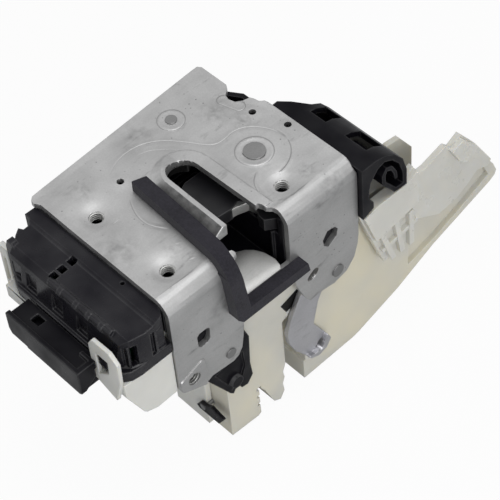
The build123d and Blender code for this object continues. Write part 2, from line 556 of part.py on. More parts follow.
# Release lever: grey steel, turns on a rivet through the flange
lever_outline = [
    (18.6, -49.6), (19.4, -53.0), (17.6, -57.0), (13.4, -58.6), (8.0, -61.0), (5.2, -66.0), (2.2, -78.0),
    (8.0, -88.6),
    (3.4, -92.6), (-3.0, -94.0), (-8.0, -86.6), (-11.2, -79.0), (-11.8, -72.0), (-9.8, -66.0), (-6.6, -60.0),
    (-4.0, -55.0), (0.0, -51.0), (8.0, -47.0), (15.0, -46.8),
]
release_lever = flat_yz(lever_outline, LEVER_FRONT_X - LEVER_THICKNESS, LEVER_FRONT_X)
foot_outline = [
    (8.0, -88.6), (3.4, -92.6), (-3.0, -94.0), (-1.6, -95.6), (2.6, -97.4), (7.0, -96.0), (9.6, -92.0),
]
foot = flat_yz(foot_outline, LEVER_FRONT_X - LEVER_THICKNESS, LEVER_FRONT_X + 2.0)
foot -= flat_yz([(y - 2.2, z + 2.6) for y, z in foot_outline], LEVER_FRONT_X, LEVER_FRONT_X + 5)
release_lever += foot
release_lever -= extrude(
    Plane(origin=(0, 4.6, -93.0), x_dir=(0, 0.6, 0.8), z_dir=(1, 0, 0)) * SlotOverall(4.6, 2.2), 20,
)
release_lever -= rod(
    LEVER_PIN_RADIUS + RUNNING_GAP, (0, LEVER_PIVOT_Y, LEVER_PIVOT_Z),
    (20, LEVER_PIVOT_Y, LEVER_PIVOT_Z),
)
lever_pin = rod(
    LEVER_PIN_RADIUS, (-2.0, LEVER_PIVOT_Y, LEVER_PIVOT_Z),
    (FLANGE_FACE_X + 0.6, LEVER_PIVOT_Y, LEVER_PIVOT_Z),
)

# Rubber stop beside the lever
stop_outline = [(-12.2, -56.0), (-3.0, -53.0), (-0.2, -59.6), (-9.2, -62.4)]
lever_stop = flat_yz(stop_outline, FRONT_X - 4.0, FRONT_X)
actuator_housing -= flat_yz(stop_outline, FRONT_X - 4.0, FRONT_X + 1)

# Electrical module: black cover over a white housing on the low side
cover_side = [
    (-69.2, -3.0), (-74.6, -2.9), (-76.0, MODULE_TOP_Z), (-86.0, -4.6), (-88.6, -7.0), (-89.4, -14.0),
    (-90.6, -23.0),
    (-69.2, -25.0),
]
cover_plan = [
    (MODULE_LEFT_X, -69.2), (MODULE_RIGHT_X - 4.0, -69.2), (MODULE_RIGHT_X - 1.0, -71.0),
    (MODULE_RIGHT_X, -74.0),
    (MODULE_RIGHT_X, -80.0), (MODULE_RIGHT_X - 1.6, -86.0), (MODULE_RIGHT_X - 7.0, -91.0),
    (MODULE_LEFT_X + 12.5, -91.0),
    (MODULE_LEFT_X + 7.5, -88.6), (MODULE_LEFT_X + 6.5, -85.0), (MODULE_LEFT_X + 4.5, -83.0),
    (MODULE_LEFT_X + 2.5, -80.0),
    (MODULE_LEFT_X + 4.5, -79.0), (MODULE_LEFT_X + 4.5, -76.0), (MODULE_LEFT_X + 2.5, -74.5),
    (MODULE_LEFT_X, -74.5),
]
module_cover = flat_yz(cover_side, MODULE_LEFT_X, MODULE_RIGHT_X) & flat_xy(cover_plan, -30, 5)
skirt_plan = [
    (MODULE_LEFT_X + 3.5, -69.2), (MODULE_RIGHT_X, -69.2), (MODULE_RIGHT_X, -84.0),
    (MODULE_RIGHT_X - 0.6, -88.0),
    (MODULE_RIGHT_X - 3.0, -91.5), (MODULE_LEFT_X + 12.5, -91.5), (MODULE_LEFT_X + 7.5, -89.4),
    (MODULE_LEFT_X + 3.7, -84.0),
]
module_cover += flat_xy(skirt_plan, -25.0, -20.0)
for x in (-24.0, -15.0, -8.0, -1.0):
    knuckle = Plane(origin=(x - 1.0, -87.5, -5.7), z_dir=(1, 0, 0)) * RegularPolygon(2.1, 8)
    module_cover += extrude(knuckle, 2.0)
bar = Plane(origin=(-31.0, -87.2, -5.4), z_dir=(1, 0, 0)) * RegularPolygon(1.6, 10)
module_cover += extrude(bar, 35.0)
for y in (-76.4, -81.2, -85.2):
    module_cover -= box((-32.6, -29.2), (y - 1.5, y + 1.5), (-8.0, 0.0))
module_cover -= extrude(Pos(-9.1, -70.9, -6.0) * RegularPolygon(0.95, 8), 6.0)
pockets = [((9.0, 14.0), (-92.0, -83.4), (-19.6, -8.2)), ((11.4, 14.0), (-77.8, -75.8), (-19.6, -6.8))]
pockets.append(((12.2, 14.0), (-75.0, -70.6), (-19.6, -7.6)))
for x, y, z in pockets:
    module_cover -= box(x, y, z)
module_cover += box((9.0, 11.2), (-87.2, -86.4), (-19.6, -8.2))
for x in (-50.0, -41.0, -26.0, -12.0):
    module_cover -= box((x - 3.0, x + 3.0), (-95.0, -88.4), (-18.0, -10.0))
room_x = (MODULE_LEFT_X + 8.5, MODULE_RIGHT_X - 4.0)
module_room = [(room_x[0], -72.0), (room_x[1], -72.0), (room_x[1], -84.6), (room_x[0], -84.6)]
module_cover -= flat_xy(module_room, -26.0, -7.4)

module_side = [
    (-69.2, -25.0), (-92.0, -25.0), (-92.0, -31.6), (-85.3, -46.9), (-84.1, -48.4), (-79.2, -50.4),
    (-69.2, -50.0),
]
module_housing = flat_yz(module_side, MODULE_LEFT_X + 4.5, MODULE_RIGHT_X - 0.6)
module_housing += box((-50.0, FRONT_X), (-69.2, -43.2), (-50.0, BACK_PLATE_Z))
module_housing += box((-22.0, -2.5), WHITE_WALL_Y, (-111.0, -49.0))
module_housing -= flat_xy(module_room, -44.0, -24.0)
shaft_hole = rod(shaft_bore, (LOCK_AXIS_X, -60.0, LOCK_AXIS_Z), (LOCK_AXIS_X, -40.0, LOCK_AXIS_Z))
module_housing -= shaft_hole
module_housing -= side_room


def clip_loop(x, z, window_x, window_z, y):
    """Snap strap with a window, standing on the low side."""
    loop = box(x, (y - 1.2, y + 1.2), z)
    return loop - box(window_x, (y - 3, y + 3), window_z)


right_clip = flat_xz(
    [(-3.0, -11.0), (-0.6, -7.0), (9.0, -6.8), (13.0, -10.6), (12.6, -22.0), (9.0, -34.6), (-3.0, -30.0)],
    -93.8, -92.0,
)
right_clip -= flat_xz([(0.6, -13.4), (7.2, -13.4), (6.8, -20.6), (0.6, -25.6)], -97, -91)
right_clip += box((-2.4, 8.6), (-92.4, -91.0), (-31.6, -27.0))
strap_x = (MODULE_LEFT_X - 2.4, MODULE_LEFT_X + 2.6)
left_clip = clip_loop(strap_x, (-44.0, -11.0), (strap_x[0] + 0.9, strap_x[1] - 1.7), (-31.0, -17.0), -86.0)
left_clip += box((strap_x[0], strap_x[1] + 3.2), (-87.2, -80.0), (-44.0, -38.0))
module_housing += right_clip
module_housing += left_clip
module_cover += box((1.2, 6.2), (-93.4, -88.5), (-19.6, -14.2))
clip_guard = [(-57.4, -7.6), (-56.0, -3.6), (-53.4, -3.6), (-49.5, -8.0), (-49.5, -24.6), (-57.4, -24.6)]
module_cover += flat_xz(clip_guard, -87.0, -84.2)

# Connector: a shroud with a lip over the socket, which opens downwards
HOOD_X = (-42.0, -0.2)
HOOD_WALL = 1.8
HOOD_TOP_Z = -19.2
HOOD_LOW_Z = -31.4
HOOD_FLOOR_Z = (-22.4, -20.8)
hood_wall_y = (HOOD_LIP_Y, HOOD_LIP_Y + HOOD_WALL)
connector_hood = box((HOOD_X[0] + 0.6, -3.4), (hood_wall_y[1], -91.8), HOOD_FLOOR_Z)
front_wall = [
    (HOOD_X[0], HOOD_TOP_Z - 1.0), (HOOD_X[0] + 0.8, HOOD_TOP_Z), (HOOD_X[1], HOOD_TOP_Z),
    (HOOD_X[1], HOOD_LOW_Z),
    (HOOD_X[0] + 1.4, HOOD_LOW_Z), (HOOD_X[0], HOOD_LOW_Z + 2.6),
]
connector_hood += flat_xz(front_wall, *hood_wall_y)
end_wall = [
    (HOOD_LIP_Y, HOOD_TOP_Z), (-95.2, HOOD_TOP_Z), (-94.6, -27.0), (HOOD_LIP_Y + 2.4, HOOD_LOW_Z),
    (HOOD_LIP_Y, HOOD_LOW_Z),
]
connector_hood += flat_yz(end_wall, HOOD_X[1] - 2.2, HOOD_X[1])
connector_hood += box((-7.4, HOOD_X[1]), (-95.6, -94.0), (-23.0, HOOD_TOP_Z))
connector_hood -= box((-33.2, -28.6), (-97.6, -94.0), (-23.0, -19.0))
SOCKET_X = (-40.0, -9.0)
SOCKET_Y = (-98.0, -86.2)
socket_wall = 1.5
connector_socket = box(SOCKET_X, SOCKET_Y, (-44.0, -25.2))
connector_socket -= box(
    (SOCKET_X[0] + socket_wall, SOCKET_X[1] - socket_wall),
    (SOCKET_Y[0] + socket_wall, SOCKET_Y[1] - socket_wall),
    (-45.0, -28.0),
)
connector_socket += box((-26.0, -12.0), (-97.0, -93.0), (-25.2, HOOD_FLOOR_Z[0]))
module_housing -= box(SOCKET_X, (-99.0, SOCKET_Y[1]), (-60, -25.2))
terminals = []
for i in range(8):
    x = SOCKET_X[0] + 5.0 + i * 3.0
    terminals.append(box((x - 0.4, x + 0.4), (-92.5, -91.7), (-40.0, -27.0)))
    connector_socket -= box((x - 0.4, x + 0.4), (-92.5, -91.7), (-40.0, -27.0))

# Electronics inside the module and the housing
circuit_board = box((room_x[0] + 0.4, room_x[1] - 0.4), (-84.2, -72.4), (-25.6, -24.0))
lock_switches = []
for x in (-44.0, -20.0):
    lock_switches.append(box((x - 6.4, x + 6.4), (-82.0, -76.0), (-32.1, -25.6)))
snub_capacitor = rod(4.0, (-2.0, -78.5, -37.6), (-2.0, -78.5, -25.6))


# Lock drive: motor, pinion and sector gear with involute teeth
def involute_half(base, tip, count):
    """Radius and swept angle of one flank, from the base circle outwards."""
    flank = []
    for i in range(count + 1):
        radius = base + (tip - base) * i / count
        roll = math.sqrt(max((radius / base) ** 2 - 1.0, 0.0))
        flank.append((radius, roll - math.atan(roll)))
    return flank


def gear_outline(teeth, first, last, turn):
    """Gear outline between two tooth numbers; the rest is the root circle."""
    pitch = GEAR_MODULE * teeth / 2
    base = pitch * math.cos(math.radians(20))
    tip = pitch + 0.9 * GEAR_MODULE
    root = pitch - 1.25 * GEAR_MODULE
    pitch_roll = math.sqrt((pitch / base) ** 2 - 1.0)
    half = math.pi / (2 * teeth) - BACKLASH / 2 / pitch + pitch_roll - math.atan(pitch_roll)
    flank = involute_half(max(base, root), tip, 2)
    points = []
    for tooth in range(first, last + 1):
        middle = turn + 2 * math.pi * tooth / teeth
        points.append((root, middle - half))
        points += [(r, middle - half + a) for r, a in flank]
        points += [(r, middle + half - a) for r, a in reversed(flank)]
        points.append((root, middle + half))
    return points


def as_xz(points, x, z):
    """Polar points (radius, angle) as (x, z) round a centre."""
    return [(x + r * math.cos(a), z + r * math.sin(a)) for r, a in points]


pinion_points = gear_outline(PINION_TEETH, 0, PINION_TEETH - 1, -math.pi / 2)
lock_pinion = flat_xz(as_xz(pinion_points, LOCK_AXIS_X, MOTOR_AXIS_Z), DRIVE_Y, DRIVE_Y + GEAR_WIDTH)
pinion_shaft_radius = 1.2
lock_pinion -= rod(pinion_shaft_radius, (LOCK_AXIS_X, -50, MOTOR_AXIS_Z), (LOCK_AXIS_X, -30, MOTOR_AXIS_Z))
motor_shaft = rod(
    pinion_shaft_radius, (LOCK_AXIS_X, DRIVE_Y, MOTOR_AXIS_Z), (LOCK_AXIS_X, -35.2, MOTOR_AXIS_Z),
)
lock_motor = rod(MOTOR_RADIUS, (LOCK_AXIS_X, -35.0, MOTOR_AXIS_Z), (LOCK_AXIS_X, -14.0, MOTOR_AXIS_Z))
lock_motor -= rod(
    pinion_shaft_radius + RUNNING_GAP, (LOCK_AXIS_X, -36.0, MOTOR_AXIS_Z),
    (LOCK_AXIS_X, -30.0, MOTOR_AXIS_Z),
)
motor_shaft += rod(
    pinion_shaft_radius, (LOCK_AXIS_X, -35.2, MOTOR_AXIS_Z), (LOCK_AXIS_X, -30.5, MOTOR_AXIS_Z),
)

tooth_pitch = 2 * math.pi / SECTOR_TEETH
sector_points = gear_outline(SECTOR_TEETH, -2, 1, math.pi / 2 + tooth_pitch / 2)
last_angle = sector_points[-1][1]
hub_arc = [(4.2, last_angle + 0.4 + i * (2 * math.pi - 1.6) / 10) for i in range(11)]
sector_gear = flat_xz(as_xz(sector_points + hub_arc, LOCK_AXIS_X, LOCK_AXIS_Z), DRIVE_Y, DRIVE_Y + GEAR_WIDTH)
sector_gear -= rod(LOCK_SHAFT_RADIUS, (LOCK_AXIS_X, -50, LOCK_AXIS_Z), (LOCK_AXIS_X, -30, LOCK_AXIS_Z))
lock_shaft = rod(
    LOCK_SHAFT_RADIUS, (LOCK_AXIS_X, LOCK_LEVER_Y[0], LOCK_AXIS_Z),
    (LOCK_AXIS_X, DRIVE_Y + GEAR_WIDTH, LOCK_AXIS_Z),
)

lever_shape = [
    (-3.6, -1.2), (-1.6, 1.8), (2.4, 2.8), (5.4, 4.8), (8.4, 3.8), (12.4, 2.8), (9.4, -2.2),
    (-2.2, -2.4),
]
lock_lever = flat_xz([(LOCK_AXIS_X + x, LOCK_AXIS_Z + z) for x, z in lever_shape], *LOCK_LEVER_Y)
lock_lever -= rod(LOCK_SHAFT_RADIUS, (LOCK_AXIS_X, -50, LOCK_AXIS_Z), (LOCK_AXIS_X, -44, LOCK_AXIS_Z))

for name, shape in {
    "latch_plate": latch_plate,
    "striker_ramp": striker_ramp,
    "back_plate": back_plate,
    "latch_housing": latch_housing,
    "striker_pocket": striker_pocket,
    "striker_stop": striker_stop,
    "claw": claw,
    "claw_overmould": claw_overmould,
    "pawl": pawl,
    "claw_pin": claw_pin,
    "pawl_pin": pawl_pin,
    "plate_rivet": plate_rivet,
    "flange_rivet": flange_rivet,
    "claw_spring": claw_spring,
    "pawl_spring": pawl_spring,
    "seal_strip": seal_strip,
    "cable_guide": cable_guide,
    "actuator_housing": actuator_housing,
    "rear_cover": rear_cover,
    "housing_screws": Compound(housing_screws),
    "arm_cover": arm_cover,
    "ribbed_cover": ribbed_cover,
    "lower_guard": lower_guard,
    "release_lever": release_lever,
    "lever_pin": lever_pin,
    "lever_stop": lever_stop,
    "module_cover": module_cover,
    "module_housing": module_housing,
    "connector_hood": connector_hood,
    "connector_socket": connector_socket,
    "connector_pins": Compound(terminals),
    "circuit_board": circuit_board,
    "lock_switches": Compound(lock_switches),
    "snub_capacitor": snub_capacitor,
    "lock_motor": lock_motor,
    "lock_pinion": lock_pinion,
    "motor_shaft": motor_shaft,
    "sector_gear": sector_gear,
    "lock_shaft": lock_shaft,
    "lock_lever": lock_lever,
}.items():
    save(shape, name)
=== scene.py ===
"""Looks for the door latch actuator: materials, pressed forms, threads, foam, light and camera.

Lengths are in millimetres in the drawing frame of the part, where the flat of the face plate is at
height zero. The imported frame, in metres, has that flat at the height LIFT.
"""
import json
import math

import bmesh
import bpy
from mathutils import Matrix, Vector, kdtree, noise

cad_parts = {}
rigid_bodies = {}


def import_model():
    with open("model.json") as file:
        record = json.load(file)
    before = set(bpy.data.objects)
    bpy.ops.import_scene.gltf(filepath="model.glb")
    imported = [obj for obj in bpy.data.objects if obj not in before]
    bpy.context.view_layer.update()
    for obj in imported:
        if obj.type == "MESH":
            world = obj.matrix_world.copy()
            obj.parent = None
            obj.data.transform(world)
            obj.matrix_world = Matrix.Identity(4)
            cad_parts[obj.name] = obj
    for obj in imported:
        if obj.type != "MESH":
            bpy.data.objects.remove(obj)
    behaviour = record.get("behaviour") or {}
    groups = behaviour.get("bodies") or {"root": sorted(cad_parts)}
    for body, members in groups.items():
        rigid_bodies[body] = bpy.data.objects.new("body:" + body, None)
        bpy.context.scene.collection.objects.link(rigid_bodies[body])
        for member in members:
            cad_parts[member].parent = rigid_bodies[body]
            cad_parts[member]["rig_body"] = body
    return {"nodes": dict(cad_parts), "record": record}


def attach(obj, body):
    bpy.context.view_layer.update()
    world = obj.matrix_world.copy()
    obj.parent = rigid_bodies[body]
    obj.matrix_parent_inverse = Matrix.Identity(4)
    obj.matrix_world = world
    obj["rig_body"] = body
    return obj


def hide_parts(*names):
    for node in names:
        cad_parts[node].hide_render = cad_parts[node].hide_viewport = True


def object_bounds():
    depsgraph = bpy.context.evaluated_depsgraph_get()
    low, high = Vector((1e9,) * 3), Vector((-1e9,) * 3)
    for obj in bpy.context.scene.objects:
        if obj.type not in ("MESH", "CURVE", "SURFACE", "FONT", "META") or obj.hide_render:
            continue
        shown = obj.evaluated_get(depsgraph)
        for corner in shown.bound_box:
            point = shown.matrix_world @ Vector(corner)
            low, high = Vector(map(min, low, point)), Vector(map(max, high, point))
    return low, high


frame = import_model()
cad_low, cad_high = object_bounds()

MM = 0.001
LIFT = 1.6


def at(x, y, z):
    """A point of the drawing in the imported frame."""
    return Vector((x * MM, y * MM, (z + LIFT) * MM))


def times(colour, factor):
    """A colour made darker or lighter, up to white."""
    return tuple(min(1.0, part * factor) for part in colour)


# Materials
class Look:
    """A principled material with helpers for its node tree."""

    def __init__(self, name, **sockets):
        self.material = bpy.data.materials.new(name)
        self.material.use_nodes = True
        self.tree = self.material.node_tree
        self.shader = self.tree.nodes["Principled BSDF"]
        for key, value in sockets.items():
            self.shader.inputs[key.replace("_", " ")].default_value = value
        self.place = self.node("ShaderNodeTexCoord").outputs["Object"]

    def node(self, kind, links=(), **settings):
        """New node; a setting goes to the socket of that name, or else to the node."""
        made = self.tree.nodes.new(kind)
        for key, value in settings.items():
            if key in made.inputs:
                made.inputs[key].default_value = value
            else:
                setattr(made, key, value)
        for socket, source in dict(links).items():
            self.tree.links.new(source, made.inputs[socket])
        return made

    def noise(self, scale, detail=3.0, stretch=None, rough=0.55):
        """Cloudy value between zero and one, drawn out along an axis if a stretch is given."""
        place = self.place
        if stretch:
            place = self.node("ShaderNodeMapping", {"Vector": place}, Scale=stretch).outputs[0]
        settings = {"Scale": scale, "Detail": detail, "Roughness": rough}
        return self.node("ShaderNodeTexNoise", {"Vector": place}, **settings).outputs["Fac"]

    def cells(self, scale):
        """Distance to the middle of the nearest cell."""
        return self.node("ShaderNodeTexVoronoi", {"Vector": self.place}, Scale=scale).outputs["Distance"]

    def attribute(self, name):
        """Value noted on the mesh under that name."""
        return self.node("ShaderNodeAttribute", attribute_name=name).outputs["Fac"]

    def ramp(self, source, low, high, to_low=0.0, to_high=1.0, kind="LINEAR"):
        """Value between two levels turned into a value between two others."""
        made = self.node("ShaderNodeMapRange", {"Value": source}, interpolation_type=kind)
        ends = {"From Min": low, "From Max": high, "To Min": to_low, "To Max": to_high}
        for key, value in ends.items():
            made.inputs[key].default_value = value
        return made.outputs[0]

    def math(self, kind, a, b=0.0):
        """One arithmetic step on two numbers or sockets."""
        made = self.node("ShaderNodeMath", operation=kind)
        for i, value in enumerate((a, b)):
            if isinstance(value, (int, float)):
                made.inputs[i].default_value = value
            else:
                self.tree.links.new(value, made.inputs[i])
        return made.outputs[0]

    def product(self, a, b):
        return self.math("MULTIPLY", a, b)

    def mix(self, factor, first, second):
        """Mix of two colours; sockets 0, 6 and 7 are the factor and the two colours."""
        made = self.node("ShaderNodeMix", data_type="RGBA", blend_type="MIX")
        sockets = (made.inputs[0], made.inputs[6], made.inputs[7])
        for socket, value in zip(sockets, (factor, first, second)):
            if isinstance(value, bpy.types.NodeSocket):
                self.tree.links.new(value, socket)
            elif isinstance(value, tuple):
                socket.default_value = (*value, 1.0)
            else:
                socket.default_value = value
        return made.outputs[2]

    def put(self, key, source):
        """Link to a socket of the shader."""
        self.tree.links.new(source, self.shader.inputs[key])

    def relief(self, heights, edge=0.0):
        """Bumps chained one on the other, over a softened edge."""
        normal = None
        if edge:
            normal = self.node("ShaderNodeBevel", Radius=edge * MM, samples=6).outputs[0]
        for source, distance, strength in heights:
            links = {"Height": source}
            if normal is not None:
                links["Normal"] = normal
            bump = self.node("ShaderNodeBump", links, Distance=distance * MM, Strength=strength)
            normal = bump.outputs[0]
        self.put("Normal", normal)


def edges_of(look, radius, low, high):
    """One on the solid's edges, zero on its flats."""
    round_normal = look.node("ShaderNodeBevel", Radius=radius * MM, samples=6).outputs[0]
    flat_normal = look.node("ShaderNodeNewGeometry").outputs["True Normal"]
    dot = look.node("ShaderNodeVectorMath", {0: round_normal, 1: flat_normal}, operation="DOT_PRODUCT")
    return look.ramp(look.math("SUBTRACT", 1.0, dot.outputs["Value"]), low, high)


def smudge(look, centre, radius, scale):
    """Soft dark stain round a place, broken up by noise."""
    near = look.node("ShaderNodeVectorMath", {0: look.place}, operation="DISTANCE")
    near.inputs[1].default_value = centre
    fade = look.ramp(near.outputs["Value"], radius * MM, 0.0)
    return look.product(fade, look.ramp(look.noise(scale, 3.0, None, 0.5), 0.40, 0.80))


def pressed_marks(look, shade, colour):
    """Pits, painted shade at the foot of the pressed lines, and painted shade with painted edge highlights on
    the slot rim's outer wall and in the screw bores, on a steel's shade.

    Gives the new shade, and the step's height on either side of the pressed lines.
    """
    patches = look.ramp(look.noise(45, 2.0), 0.42, 0.60, 0.0, 0.75)
    pits = look.product(look.ramp(look.cells(330.0), 0.13, 0.07), patches)
    shade = look.mix(pits, shade, times(colour, 0.28))
    side = look.attribute("press_side")
    near = look.attribute("press_near")
    # Painted shade in a thin line along the foot of each pressed step
    step_foot_shade = look.ramp(look.math("ABSOLUTE", look.math("ADD", side, 0.18)), 0.30, 0.06)
    line = look.product(look.product(step_foot_shade, near), 0.55)
    shade = look.mix(line, shade, times(colour, 0.35))
    # Painted shade on the rim's outer wall and in the screw bores, broken up by noise, and a painted
    # highlight along their edges
    wall = look.attribute("painted_wall_shade")
    edge_highlight = edges_of(look, 0.5, 0.02, 0.12)
    mottled = look.ramp(look.noise(330, 4.0, None, 0.6), 0.30, 0.70, 0.65, 1.0)
    flat = look.product(look.math("SUBTRACT", 1.0, edge_highlight), mottled)
    shade = look.mix(look.product(wall, flat), shade, times(colour, 0.22))
    shade = look.mix(look.product(wall, edge_highlight), shade, times(colour, 1.6))
    step = look.product(look.ramp(side, -0.38, 0.38, -1.0, 1.0, "SMOOTHSTEP"), near)
    return shade, step


def steel(name, colour, rough, stains=(), scratch=0.5, pressed=False, edge=0.35):
    """Plated sheet or turned steel with grain, specks, scuffs and stains; the pressed plate also gets the
    painted shade and highlights of pressed_marks.
    """
    look = Look(name, Metallic=1.0)
    cloud = look.noise(60, 4.0)
    fine = look.noise(900, 2.0)
    grain = look.noise(500, 2.0, (1.0, 0.12, 1.0))
    specks = look.ramp(look.noise(1500, 2.0), 0.35, 0.65, 0.0, 0.16)
    scuffs = look.ramp(look.noise(240, 4.0, (1.0, 0.3, 1.0), 0.6), 0.62, 0.76)
    shade = look.mix(look.ramp(cloud, 0.35, 0.62), times(colour, 0.86), colour)
    shade = look.mix(look.ramp(grain, 0.3, 0.75, 0.0, 0.35), shade, times(colour, 1.08))
    shade = look.mix(specks, shade, times(colour, 0.55))
    shade = look.mix(look.product(scuffs, scratch), shade, times(colour, 0.35))
    for place, radius, scale in stains:
        stain = look.product(smudge(look, place, radius, scale), 0.75)
        shade = look.mix(stain, shade, times(colour, 0.3))
    heights = [(fine, 0.02, 0.35), (grain, 0.03, 0.25)]
    if pressed:
        shade, step = pressed_marks(look, shade, colour)
        heights.append((step, 0.075, 1.0))
    look.put("Base Color", shade)
    look.put("Roughness", look.ramp(cloud, 0.3, 0.7, rough - 0.05, rough + 0.07))
    look.relief(heights, edge)
    return look.material


def plastic(name, colour, rough, grain=0.4, edge=0.5, inner=0.0, dirt=0.0, shine=0.5, yellow=None):
    """Moulded plastic; inner is the share of light that goes through it, and plastics with shine under a half
    get a painted highlight along their edges.
    """
    look = Look(name, Specular_IOR_Level=shine)
    base = look.mix(look.ramp(look.noise(45, 3.0), 0.3, 0.72), times(colour, 0.90), colour)
    if yellow:
        base = look.mix(look.ramp(look.noise(22, 2.0), 0.42, 0.66), base, yellow)
    if dirt:
        dust = look.ramp(look.noise(230, 5.0, None, 0.7), 0.66, 0.78, 0.0, dirt)
        base = look.mix(dust, base, times(colour, 0.4))
    # Painted highlight along the edges, broken up by noise
    if shine < 0.5:
        highlight_breakup = look.ramp(look.noise(150, 3.0), 0.25, 0.6, 0.35, 1.0)
        edge_highlight = look.product(edges_of(look, 0.9, 0.01, 0.22), highlight_breakup)
        base = look.mix(edge_highlight, base, tuple(part + 0.055 for part in colour))
    look.put("Base Color", base)
    look.put("Roughness", look.ramp(look.noise(120, 4.0), 0.3, 0.7, rough - 0.06, rough + 0.08))
    if 0.0 < shine < 0.5:
        gloss = look.ramp(look.noise(38, 3.0), 0.36, 0.66, shine * 0.45, shine * 1.6)
        look.put("Specular IOR Level", gloss)
    if inner:
        look.shader.inputs["Subsurface Weight"].default_value = inner
        look.shader.inputs["Subsurface Radius"].default_value = (1.0, 0.85, 0.6)
        look.shader.inputs["Subsurface Scale"].default_value = 2.5 * MM
    look.relief([(look.noise(1400, 2.0), 0.02, grain), (look.noise(60, 2.0), 0.20, 0.10)], edge)
    return look.material


def foam(name, colour):
    """Closed-cell foam with fine pores."""
    look = Look(name, Roughness=0.95, Specular_IOR_Level=0.25, Sheen_Weight=0.08, Sheen_Roughness=0.5)
    cells = look.noise(1100, 4.0)
    base = look.mix(look.ramp(cells, 0.35, 0.65), times(colour, 0.55), colour)
    base = look.mix(look.ramp(look.noise(90, 3.0), 0.35, 0.7, 0.0, 0.5), base, times(colour, 1.35))
    look.put("Base Color", base)
    look.relief([(look.cells(1700.0), 0.12, 0.5), (cells, 0.12, 0.5)])
    return look.material


# Stains of the plate: place, radius and fineness
STAINS = [
    (at(-45.5, 8.5, 0.0), 9.0, 330), (at(-57.5, -21.5, 0.0), 13.0, 240), (at(-33.0, 12.5, 0.0), 6.5, 420),
    (at(-20.0, -64.0, 0.0), 11.0, 260), (at(4.0, -30.0, 0.0), 8.0, 300), (at(10.5, 15.0, -4.6), 9.0, 330),
    (at(2.0, 11.0, 0.0), 5.0, 520), (at(-51.0, -54.0, 0.0), 6.0, 400), (at(13.5, -45.0, -21.6), 10.0, 280),
    (at(-6.0, -49.0, 0.0), 6.0, 380),
]
STEELS = {
    "zinc_steel": {
        "colour": (0.478, 0.478, 0.478), "rough": 0.50, "stains": STAINS, "scratch": 0.55,
        "pressed": True, "edge": 0.2,
    },
    "bright_steel": {"colour": (0.52, 0.52, 0.51), "rough": 0.50, "scratch": 0.25},
    "pin_steel": {"colour": (0.27, 0.27, 0.27), "rough": 0.40, "scratch": 0.4},
    "spring_steel": {"colour": (0.30, 0.30, 0.31), "rough": 0.32, "scratch": 0.3},
    "lever_steel": {"colour": (0.52, 0.52, 0.545), "rough": 0.44, "scratch": 0.35, "edge": 0.5},
    "contact_brass": {"colour": (0.62, 0.45, 0.20), "rough": 0.30, "scratch": 0.2},
    "capacitor_can": {"colour": (0.55, 0.55, 0.57), "rough": 0.35, "scratch": 0.2},
    "motor_can": {"colour": (0.42, 0.43, 0.44), "rough": 0.38, "scratch": 0.3},
}
PLASTICS = {
    "black_plastic": {
        "colour": (0.0058, 0.0055, 0.0076), "rough": 0.33, "grain": 0.30, "edge": 0.9, "dirt": 0.05,
        "shine": 0.10,
    },
    "glossy_black_plastic": {
        "colour": (0.0100, 0.0094, 0.0128), "rough": 0.26, "grain": 0.30, "edge": 0.9, "dirt": 0.05,
        "shine": 0.24,
    },
    "black_rubber": {
        "colour": (0.011, 0.0108, 0.0125), "rough": 0.38, "grain": 0.3, "edge": 0.3, "shine": 0.25,
    },
    "bump_rubber": {
        "colour": (0.008, 0.008, 0.008), "rough": 0.62, "grain": 0.6, "edge": 0.3, "shine": 0.15,
    },
    "cream_plastic": {
        "colour": (0.615, 0.600, 0.540), "rough": 0.34, "grain": 0.2, "edge": 0.7, "inner": 0.35,
        "dirt": 0.10, "shine": 0.0, "yellow": (0.665, 0.625, 0.50),
    },
    "clear_white_plastic": {
        "colour": (0.66, 0.65, 0.60), "rough": 0.30, "grain": 0.2, "edge": 0.2, "inner": 0.40, "dirt": 0.06,
    },
    "white_plastic": {
        "colour": (0.70, 0.695, 0.655), "rough": 0.34, "grain": 0.2, "edge": 0.6, "inner": 0.30, "dirt": 0.08,
    },
    "board_green": {"colour": (0.04, 0.18, 0.08), "rough": 0.40, "grain": 0.3, "edge": 0.1},
}
materials = {name: steel(name, **values) for name, values in STEELS.items()}
materials.update({name: plastic(name, **values) for name, values in PLASTICS.items()})
materials["seal_foam"] = foam("seal_foam", (0.024, 0.0225, 0.029))


def slot_of(node):
    """Name of the material that the record gives to a node."""
    return next(part["material_slot"] for part in frame["record"]["subparts"] if part["node"] == node)


for name, obj in frame["nodes"].items():
    obj.data.materials.clear()
    obj.data.materials.append(materials[slot_of(name)])
    for polygon in obj.data.polygons:
        polygon.use_smooth = False


def object_from(shape, name):
    """Object in the scene made from a finished bmesh."""
    mesh = bpy.data.meshes.new(name)
    shape.to_mesh(mesh)
    shape.free()
    made = bpy.data.objects.new(name, mesh)
    bpy.context.scene.collection.objects.link(made)
    return made


def smooth_shading(made, sharp_angle, weight):
    """Smooth faces up to an angle, with normals that follow the large faces."""
    made.data.shade_smooth()
    made.data.set_sharp_from_angle(angle=math.radians(sharp_angle))
    even = made.modifiers.new("even", "WEIGHTED_NORMAL")
    even.weight = weight
    even.keep_sharp = True


# Pressed forms of the face plate
def distance_to_line(point, line):
    """Distance to a line of points, the side it is on, and the share along the line."""
    best = (1e9, 1.0, 0.0)
    for i in range(len(line) - 1):
        a, b = Vector(line[i]), Vector(line[i + 1])
        along = b - a
        t = max(0.0, min(1.0, (point - a).dot(along) / along.length_squared))
        gap = point - (a + along * t)
        if gap.length < best[0]:
            side = 1.0 if along.x * gap.y - along.y * gap.x > 0 else -1.0
            best = (gap.length, side, (i + t) / (len(line) - 1))
    return best


